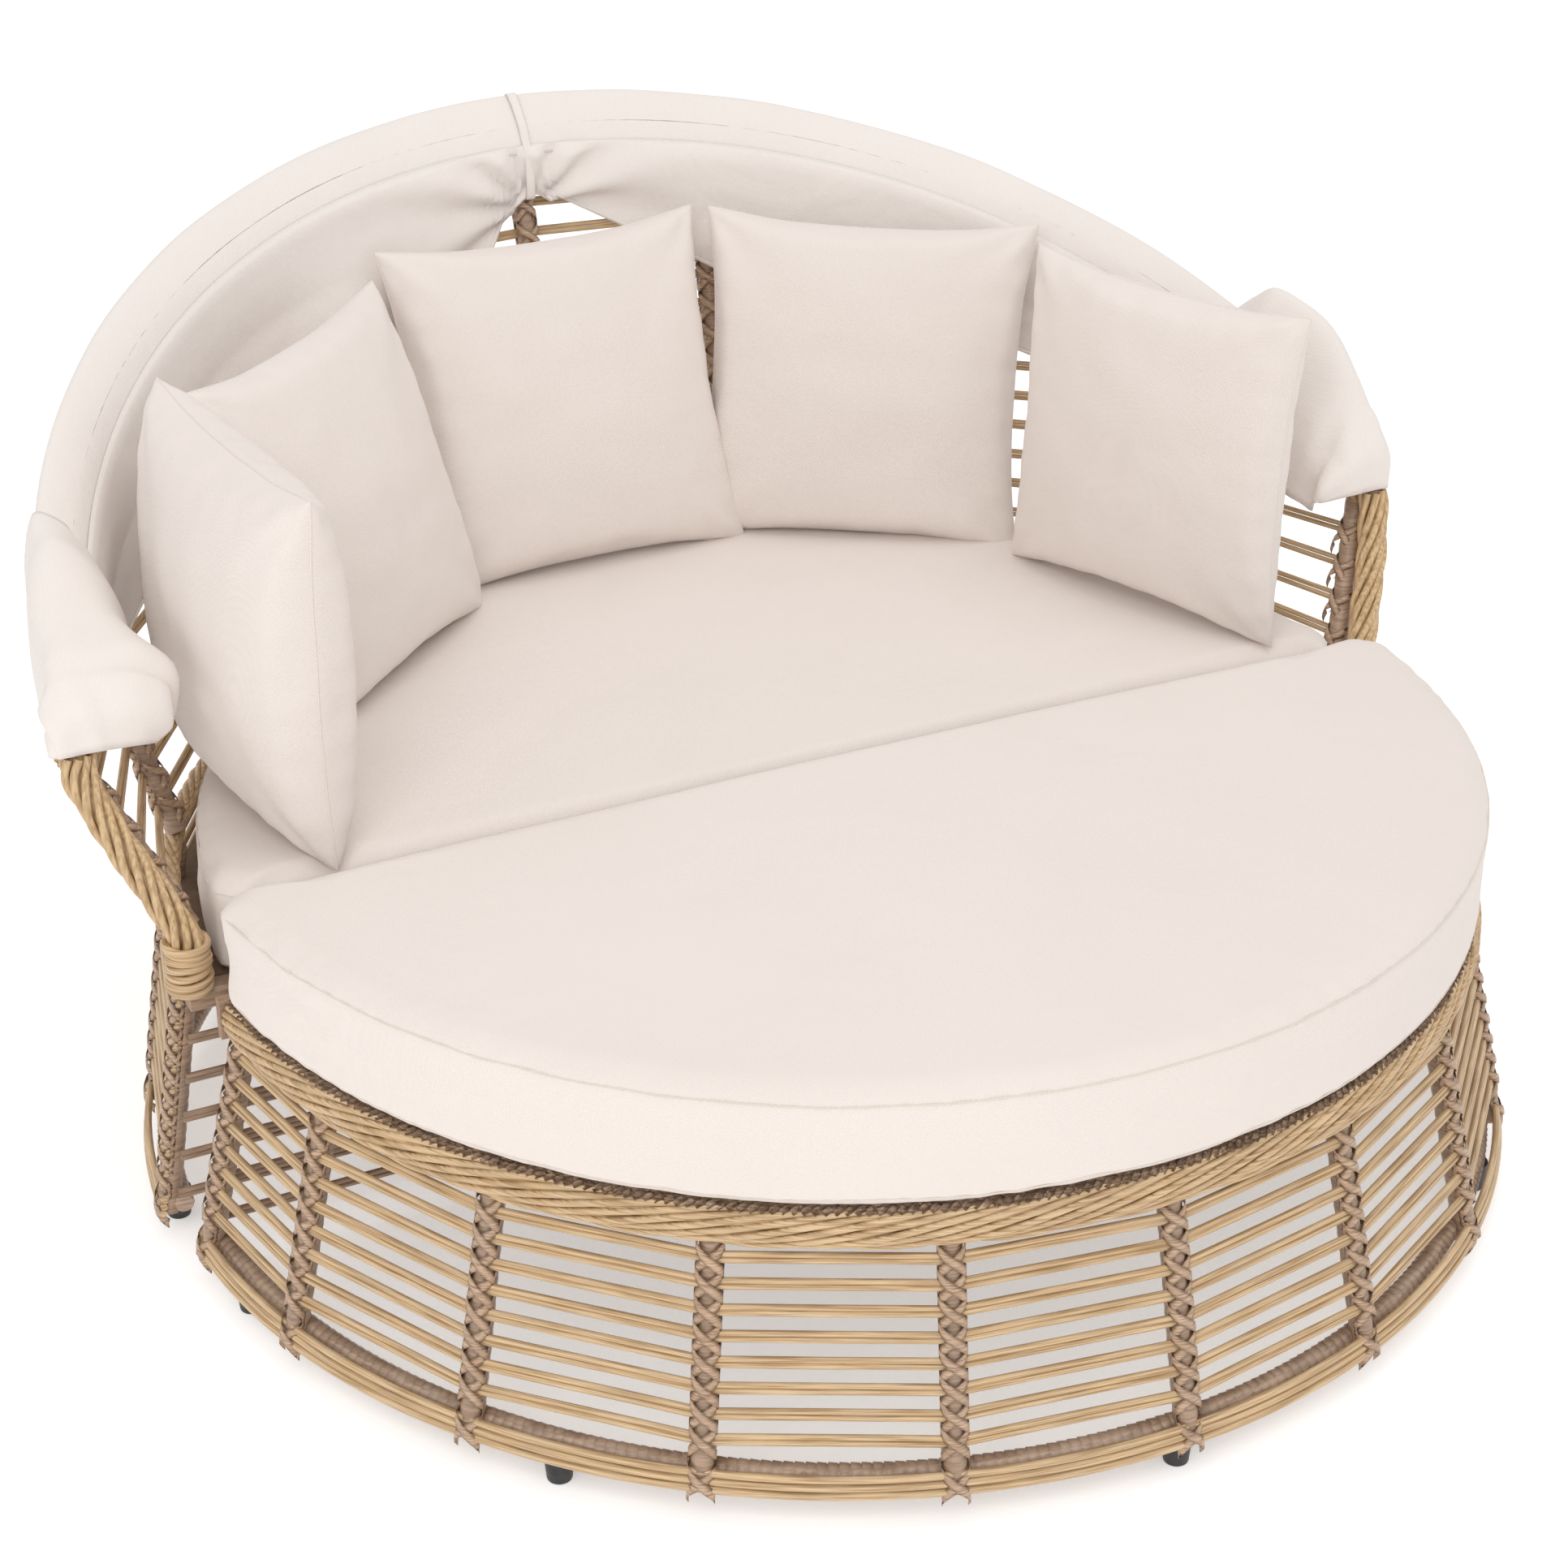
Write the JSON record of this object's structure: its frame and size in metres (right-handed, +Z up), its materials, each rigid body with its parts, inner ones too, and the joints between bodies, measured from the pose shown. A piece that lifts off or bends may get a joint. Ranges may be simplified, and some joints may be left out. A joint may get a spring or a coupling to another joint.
{
  "type": "outdoor daybed with canopy",
  "caption": "Round woven outdoor daybed: a half-round sofa with a high flared back, loose pillows and a folding cloth canopy, and a half-round ottoman that pulls away.",
  "frame": {"origin": "on the ground under the middle of the whole daybed's outline", "axes": "+X to the right seen from the ottoman, +Y from the ottoman towards the sofa's back, +Z up"},
  "size_m": [1.774, 1.7876, 1.0372],
  "materials": {
    "reed": "honey round reed",
    "braid": "twisted honey reed",
    "wrap": "brown flat strip",
    "deck": "plain board",
    "cushion_fabric": "cream woven cover",
    "canopy_fabric": "cream canopy cloth",
    "steel": "powder coated",
    "feet_plastic": "black"
  },
  "bodies": {
    "sofa": {"sofa_base_ring": "wrap", "sofa_wall_1": "reed", "sofa_wall_2": "reed", "sofa_wall_3": "reed", "sofa_wall_4": "reed", "sofa_wall_5": "reed", "sofa_front_wall": "reed", "sofa_waist_band": "braid", "sofa_front_rail": "wrap", "sofa_deck": "deck", "sofa_cushion": "cushion_fabric", "sofa_back_1": "reed", "sofa_back_2": "reed", "sofa_back_3": "reed", "sofa_back_4": "reed", "sofa_back_5": "reed", "sofa_back_rim": "braid", "arm_post_left": "braid", "arm_post_right": "braid", "hinge_bracket_left": "steel", "hinge_bracket_right": "steel", "hinge_bolt_left": "steel", "hinge_bolt_right": "steel", "sofa_foot_1": "feet_plastic", "sofa_foot_2": "feet_plastic", "sofa_foot_3": "feet_plastic", "sofa_foot_4": "feet_plastic", "sofa_foot_5": "feet_plastic", "pillow_1": "cushion_fabric", "pillow_2": "cushion_fabric", "pillow_3": "cushion_fabric", "pillow_4": "cushion_fabric", "pillow_5": "cushion_fabric", "canopy_rear_bow": "steel"},
    "ottoman": {"ottoman_base_ring": "wrap", "ottoman_wall_1": "reed", "ottoman_wall_2": "reed", "ottoman_wall_3": "reed", "ottoman_wall_4": "reed", "ottoman_wall_5": "reed", "ottoman_back_wall": "reed", "ottoman_rim": "braid", "ottoman_back_rail": "wrap", "ottoman_deck": "deck", "ottoman_cushion": "cushion_fabric", "ottoman_foot_1": "feet_plastic", "ottoman_foot_2": "feet_plastic", "ottoman_foot_3": "feet_plastic", "ottoman_foot_4": "feet_plastic", "ottoman_foot_5": "feet_plastic"},
    "second_bow": {"canopy_second_bow": "steel", "canopy_rear_gore": "canopy_fabric"},
    "third_bow": {"canopy_third_bow": "steel", "canopy_middle_gore": "canopy_fabric"},
    "front_bow": {"canopy_front_bow": "steel", "canopy_front_gore": "canopy_fabric", "canopy_sleeve": "canopy_fabric", "canopy_drape": "canopy_fabric", "canopy_tie_strap": "canopy_fabric"}
  },
  "joints": [
    {"name": "second_bow_swing", "type": "hinge", "parent": "sofa", "child": "second_bow", "pos_m": [0, 0.08395, 0.65004], "axis": [1, 0, 0], "range_deg": [0, 37], "deforming": ["canopy_rear_gore"]},
    {"name": "third_bow_swing", "type": "hinge", "parent": "second_bow", "child": "third_bow", "pos_m": [0, 0.08395, 0.65004], "axis": [1, 0, 0], "range_deg": [0, 37], "deforming": ["canopy_middle_gore"]},
    {"name": "front_bow_swing", "type": "hinge", "parent": "third_bow", "child": "front_bow", "pos_m": [0, 0.08395, 0.65004], "axis": [1, 0, 0], "range_deg": [0, 37], "deforming": ["canopy_front_gore", "canopy_drape", "canopy_tie_strap"]},
    {"name": "ottoman_pull_out", "type": "slide", "parent": "sofa", "child": "ottoman", "axis": [0, -1, 0], "range_m": [0, 0.6]}
  ],
  "couplings": [
    {"joint": "third_bow_swing", "follows": "second_bow_swing", "ratio": 1},
    {"joint": "front_bow_swing", "follows": "second_bow_swing", "ratio": 1}
  ]
}
